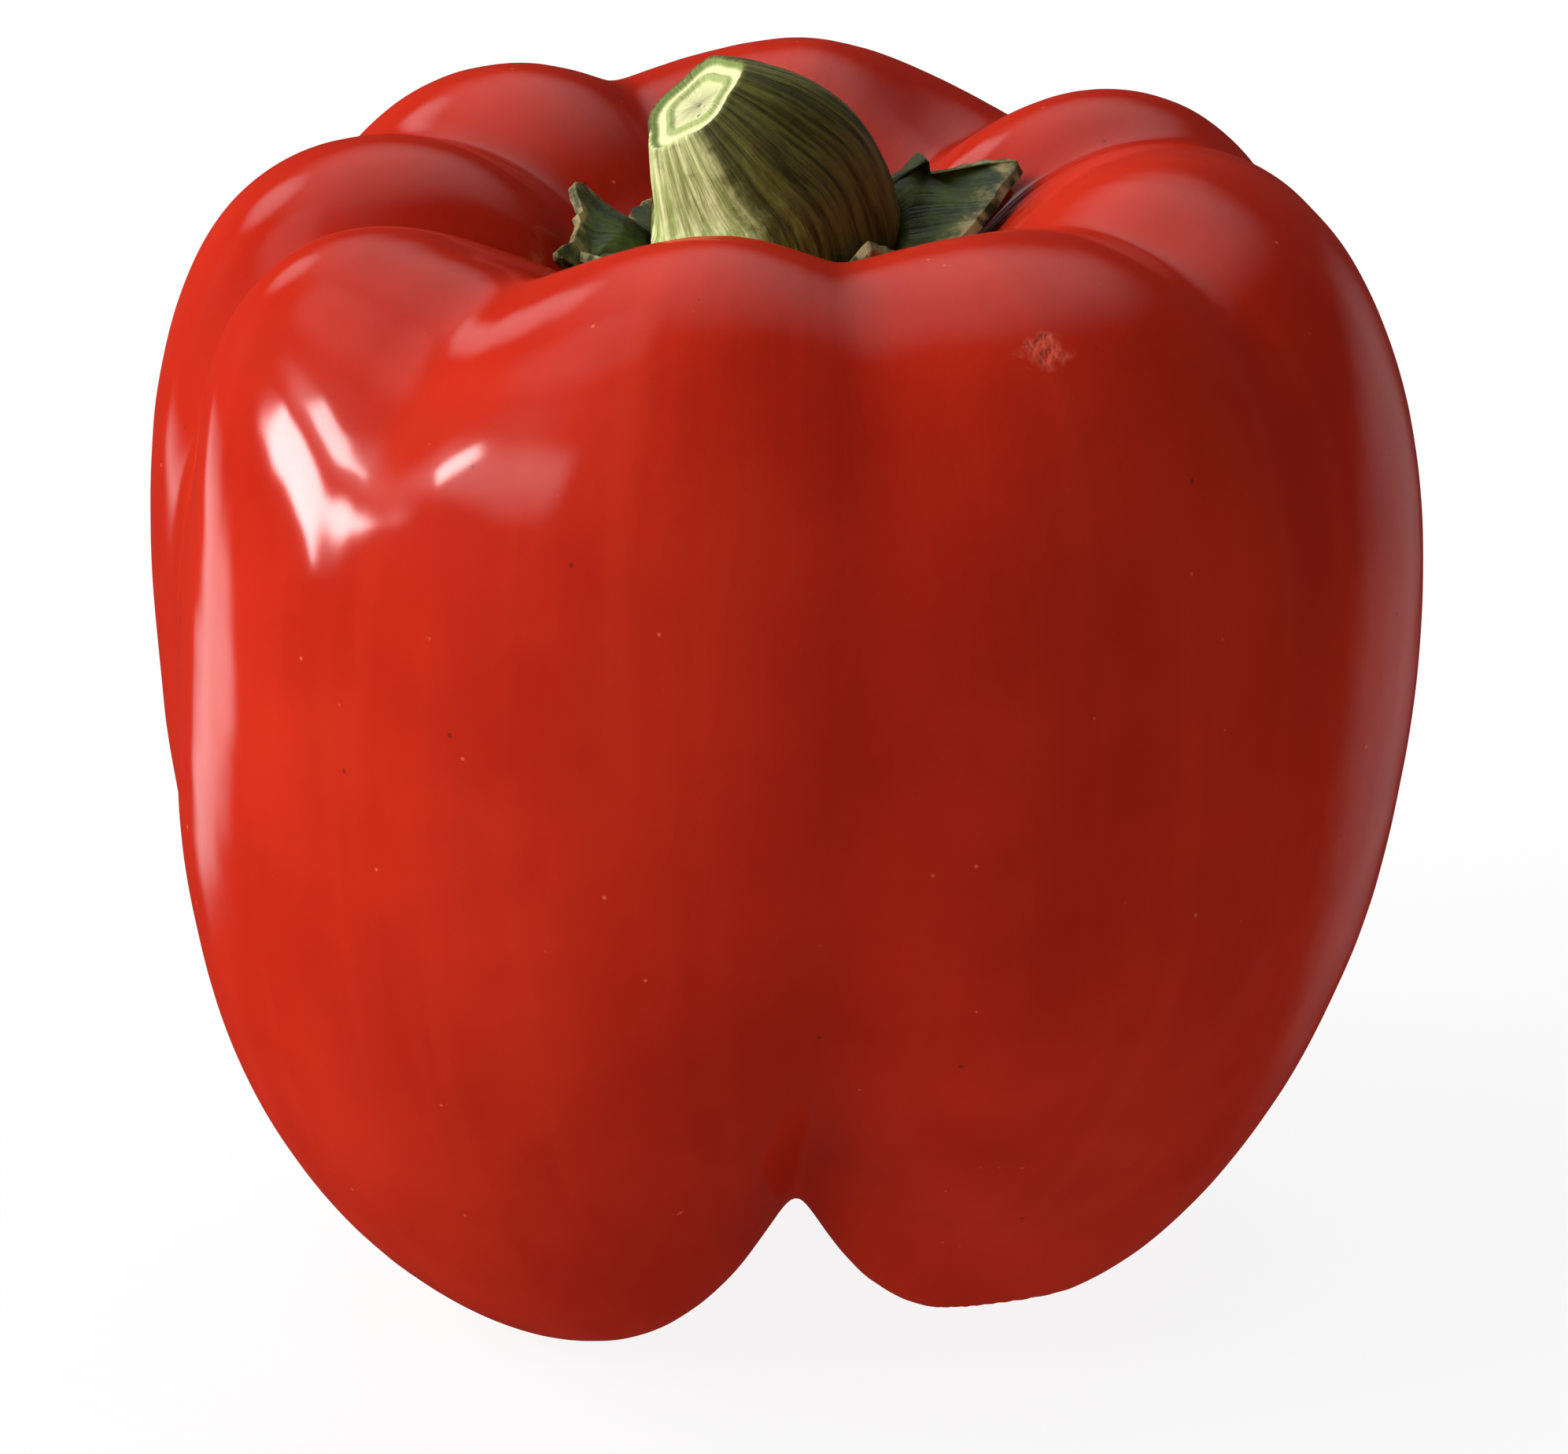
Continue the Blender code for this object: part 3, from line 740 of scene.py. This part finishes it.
def green_tissue():
    material, tree, shader = new_material("pepper_green")
    place = place_mm(tree)
    cut, climb = attribute(tree, "cut", "Fac"), attribute(tree, "climb", "Fac")
    rim, round_it = attribute(tree, "rim", "Fac"), attribute(tree, "round", "Vector")
    x, y, _ = parts_of(round_it)
    fibres = noise(tree, vector_from(tree, x * 9.0, y * 9.0, climb * 2.0), 1.5, 4.0, 0.6)
    mottle = noise(tree, place, 0.5, 4.0, 0.6)
    # Painted light and shade: the bark is mixed from a shaded copy and a lit copy, and the side
    # towards the lamp gets the lit one.
    shaded = mix(ramp(fibres, 0.35, 0.65), GREEN["shaded_groove"], GREEN["shaded_rib"])
    painted_lit_bark = mix(ramp(fibres, 0.35, 0.65), GREEN["painted_lit_groove"], GREEN["painted_lit_rib"])
    facing = x * PAINTED_LIT_SIDE[0] + y * PAINTED_LIT_SIDE[1] + (mottle - 0.5) * 0.5
    bark = mix(ramp(facing, 0.55, 0.85), shaded, painted_lit_bark)
    bark = mix(ramp(mottle, 0.5, 0.8, 0.0, 0.6), bark, GREEN["brown"])
    leaf = mix(ramp(mottle, 0.3, 0.7), GREEN["leaf_dark"], GREEN["leaf"])
    green = mix(ramp(climb, 0.05, 0.35), leaf, bark)
    dry = ramp(rim + (mottle - 0.5) * 0.5, 0.93, 1.05)
    green = mix(dry * 0.8, green, GREEN["straw"])
    pith = mix(ramp(cut, 0.10, 0.20), GREEN["rind"], GREEN["wood"])
    inner_ring = ramp(cut, 0.30, 0.36) * ramp(cut, 0.46, 0.52, 1.0, 0.0)
    pith = mix(inner_ring, pith, GREEN["inner_ring"])
    pits = ramp(cells(tree, place, 1.1), 0.14, 0.24, 1.0, 0.0) * ramp(cut, 0.45, 0.6)
    pith = mix(pits * 0.8, pith, GREEN["pit"])
    feed(shader.inputs["Base Color"], mix(ramp(cut, 0.02, 0.08), green, pith))
    feed(shader.inputs["Roughness"], ramp(mottle, 0.3, 0.7, 0.45, 0.65))
    relief = fibres + mottle * 0.6 - pits * 0.5
    feed(shader.inputs["Normal"], bump(tree, relief, FIBRE_DEPTH))
    shader.inputs["Specular IOR Level"].default_value = 0.25
    shader.inputs["Subsurface Weight"].default_value = 0.05
    shader.inputs["Subsurface Radius"].default_value = (0.6, 1.0, 0.3)
    shader.inputs["Subsurface Scale"].default_value = 0.001
    return material


stem = grow("pepper_stem", green_tree(), {
    "Crown": crown_guide, "Floor": floor_guide, "Stalk": stalk_guide, "Material": green_tissue(),
    "Columns": 320, "Rows": 252,
})

# %% [markdown]
# ## Onto the solids
# Both pieces were grown in the same place, so one shift puts them over the solids: the fruit's
# box is centred on the box of its solid, and its lowest point on that solid's floor. Each piece
# then rides on the root body, and the solid it stands for is hidden. The guides have done their
# work and go.

# %% Put both where the solids are
solid_low, solid_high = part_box("fruit")
grown_low, grown_high = mesh_box(fruit)
shift = (solid_low + solid_high - grown_low - grown_high) / 2
shift.z = solid_low.z - grown_low.z
print("shift, mm:", [round(1000 * side, 2) for side in shift])
for piece, node, slot in ((fruit, "fruit", "red_skin"), (stem, "stem_with_calyx", "green_stem")):
    piece.data.transform(Matrix.Translation(shift))
    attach(piece, "root")
    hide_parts(node)
    low, high = mesh_box(piece)
    solid_low, solid_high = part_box(node)
    print(node, "over its solid, mm:", [round(1000 * x, 2) for x in low - solid_low],
          [round(1000 * x, 2) for x in high - solid_high])
for leftover in (crown_guide, floor_guide, stalk_guide):
    bpy.data.objects.remove(leftover)

# %% [markdown]
# ## The floor
# A wide sheet of pale paper. It glows a little by itself, so that the ground under the fruit
# stays as pale as the room behind it and the shadow stays faint. The wax doesn't mirror it.

# %% The floor
FLOOR_HALF_WIDTH, FLOOR_GREY, FLOOR_ROUGHNESS = 3.0, 0.06, 0.9
FLOOR_GLOW, FLOOR_GLOW_SEEN = 0.66, 0.885


def plain_floor():
    side = FLOOR_HALF_WIDTH
    corners = [(-side, -side, 0), (side, -side, 0), (side, side, 0), (-side, side, 0)]
    mesh = bpy.data.meshes.new("floor")
    mesh.from_pydata(corners, [], [(0, 1, 2, 3)])
    floor = bpy.data.objects.new("floor", mesh)
    bpy.context.scene.collection.objects.link(floor)
    material, tree, shader = new_material("floor_paper")
    shader.inputs["Base Color"].default_value = (FLOOR_GREY, FLOOR_GREY, FLOOR_GREY, 1.0)
    shader.inputs["Emission Color"].default_value = (1.0, 1.0, 1.0, 1.0)
    seen = Wire(add(tree, "ShaderNodeLightPath").outputs["Is Camera Ray"])
    feed(shader.inputs["Emission Strength"], ramp(seen, 0.0, 1.0, FLOOR_GLOW, FLOOR_GLOW_SEEN))
    shader.inputs["Roughness"].default_value = FLOOR_ROUGHNESS
    mesh.materials.append(material)
    floor.visible_glossy = False
    floor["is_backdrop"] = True
    return floor


plain_floor()

# %% [markdown]
# ## The lamp
# One soft window lamp stands at the left, a little above the fruit and slightly behind it. It
# models the lobes with light and shade, and it is hidden from mirror-like skin, because a wax
# highlight is far easier to place in the room itself. Directions are an azimuth and an elevation,
# as on the fruit.

# %% The window lamp
LAMP_AZIMUTH, LAMP_ELEVATION, LAMP_DISTANCE = -100, 22, 0.75
LAMP_WIDTH, LAMP_HEIGHT, LAMP_POWER = 0.12, 0.30, 1.55


def direction(azimuth, elevation):
    """The way to an azimuth and an elevation, in degrees."""
    turn, rise = math.radians(azimuth), math.radians(elevation)
    level = math.cos(rise)
    return Vector((level * math.sin(turn), -level * math.cos(turn), math.sin(rise)))


def soft_light(name, place, aim, width, height, power):
    """A lamp that gives light and has no reflection."""
    lamp = bpy.data.lights.new(name, "AREA")
    lamp.shape = "RECTANGLE"
    lamp.size, lamp.size_y = width, height
    lamp.energy = power
    made = bpy.data.objects.new(name, lamp)
    bpy.context.scene.collection.objects.link(made)
    made.location = place
    made.rotation_euler = (Vector(aim) - Vector(place)).to_track_quat("-Z", "Y").to_euler()
    made.visible_glossy = False
    return made


low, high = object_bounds()
middle = (low + high) / 2
lamp_place = middle + direction(LAMP_AZIMUTH, LAMP_ELEVATION) * LAMP_DISTANCE
soft_light("window", lamp_place, middle, LAMP_WIDTH, LAMP_HEIGHT, LAMP_POWER)
print("window lamp at, m:", [round(side, 2) for side in lamp_place])

# %% [markdown]
# ## The room
# The room does three jobs, and what a ray has met decides which it sees. Matte surfaces are lit
# by an even white sky with broad glows at the left. The wax mirrors a dark room that holds only
# what should shine in it: two panes of a tall window with a gap between them, a dimmer curtain
# beside it, a low pale patch that draws the long streak down the left flank, and soft glints for
# the crests. The camera sees plain white. Mixing three backgrounds, and not three numbers, spares
# every ray the sums of the other two.
#
# A glow's numbers are its azimuth, its elevation, how far it spreads and its strength. A pane's
# are its azimuth and elevation, its roll, its width and height, how soft its edge is and its
# strength.

# %% The room
SKY_LOW, SKY_HIGH, BACKDROP, MIRRORED_HAZE = 0.50, 0.08, 0.94, 0.04
GLOWS = {
    "soft_wall": (-78, 32, 50, 3.8),
    "curtain": (-74, 29, 15, 9.0),
    "low_left": (-125, 8, 17, 6.0),
    "back": (180, 35, 65, 0.9),
}
GLINTS = {
    "valley": (-143, 30, 13, 2.6),
    "rim": (-95, 55, 22, 1.4),
    "sky_behind": (180, 58, 42, 1.6),
    "far_right": (140, -15, 26, 0.5),
}
PANES = {
    "window_wide": (-89.3, 4.8, 34.5, 9.0, 13.0, 0.5, 42.0),
    "window_narrow": (-79.0, 20.4, 34.5, 5.2, 8.4, 0.5, 36.0),
    "curtain": (-67, 20, 0, 38, 11, 4.5, 5.0),
    "low_left": (-128, -17, 0, 18, 12, 3.5, 4.0),
}


def glow(look, azimuth, elevation, spread, peak):
    """A round soft light in the room. It fades to nothing at its spread."""
    near = vector_maths("DOT_PRODUCT", look, direction(azimuth, elevation))
    return ramp(near, math.cos(math.radians(spread)), 1.0, 0.0, peak)


def pane(look, azimuth, elevation, roll, width, height, soft, peak):
    """A bright rectangle in the room, seen from the middle of it. All angles are in degrees."""
    out = direction(azimuth, elevation)
    side = Vector((math.cos(math.radians(azimuth)), math.sin(math.radians(azimuth)), 0.0))
    up = out.cross(side)
    turn = math.radians(roll)
    across = side * math.cos(turn) - up * math.sin(turn)
    along = side * math.sin(turn) + up * math.cos(turn)
    edge = math.radians(soft)
    share = ramp(vector_maths("DOT_PRODUCT", look, out), 0.0, 0.1)
    for axis, size in ((across, width), (along, height)):
        offset = maths("ABSOLUTE", vector_maths("DOT_PRODUCT", look, axis))
        half = math.radians(size) / 2
        share = share * ramp(offset, half - edge, half + edge, 1.0, 0.0)
    return share * peak


def background(tree, strength):
    made = add(tree, "ShaderNodeBackground", {"Color": (1.0, 1.0, 1.0, 1.0), "Strength": strength})
    return Wire(made.outputs["Background"])


def either(tree, test, if_false, if_true):
    """One of two backgrounds, by a test that is 0 or 1."""
    made = add(tree, "ShaderNodeMixShader")
    feed(made.inputs["Fac"], test)
    feed(made.inputs[1], if_false)
    feed(made.inputs[2], if_true)
    return Wire(made.outputs["Shader"])


def white_room():
    world = bpy.data.worlds.new("room")
    world.use_nodes = True
    tree = world.node_tree
    tree.nodes.remove(tree.nodes["Background"])
    look = Wire(add(tree, "ShaderNodeTexCoord").outputs["Generated"])
    rays = add(tree, "ShaderNodeLightPath").outputs
    lit = ramp(parts_of(look)[2], 0.0, 0.7, SKY_LOW, SKY_HIGH)
    for numbers in GLOWS.values():
        lit = lit + glow(look, *numbers)
    shown = MIRRORED_HAZE
    for numbers in GLINTS.values():
        shown = shown + glow(look, *numbers)
    for numbers in PANES.values():
        shown = shown + pane(look, *numbers)
    surface = background(tree, lit)
    surface = either(tree, Wire(rays["Is Glossy Ray"]), surface, background(tree, shown))
    surface = either(tree, Wire(rays["Is Camera Ray"]), surface, background(tree, BACKDROP))
    feed(tree.nodes["World Output"].inputs["Surface"], surface)
    return world


bpy.context.scene.world = white_room()
bpy.context.scene.view_settings.view_transform = "Standard"
print("room:", len(GLOWS), "glows,", len(GLINTS), "glints,", len(PANES), "panes")

# %% [markdown]
# ## The camera
# The camera looks down at the front from about twenty degrees, near enough for the lobes in front
# to look larger than those behind.

# %% Camera
ELEVATION, DISTANCE = 20.0, 0.60
FRAME_WIDTH = 0.1132
AIM_SHARE = 0.44
camera_data = bpy.data.cameras.new("camera")
camera_data.lens = camera_data.sensor_width * DISTANCE / FRAME_WIDTH
camera = bpy.data.objects.new("camera", camera_data)
bpy.context.scene.collection.objects.link(camera)
aim = Vector((0.0, 0.0, high.z * AIM_SHARE))
tilt = math.radians(ELEVATION)
camera.location = aim + Vector((0.0, -math.cos(tilt), math.sin(tilt))) * DISTANCE
camera.rotation_euler = (aim - camera.location).to_track_quat("-Z", "Y").to_euler()
bpy.context.scene.camera = camera
print("camera at, m:", [round(side, 3) for side in camera.location])
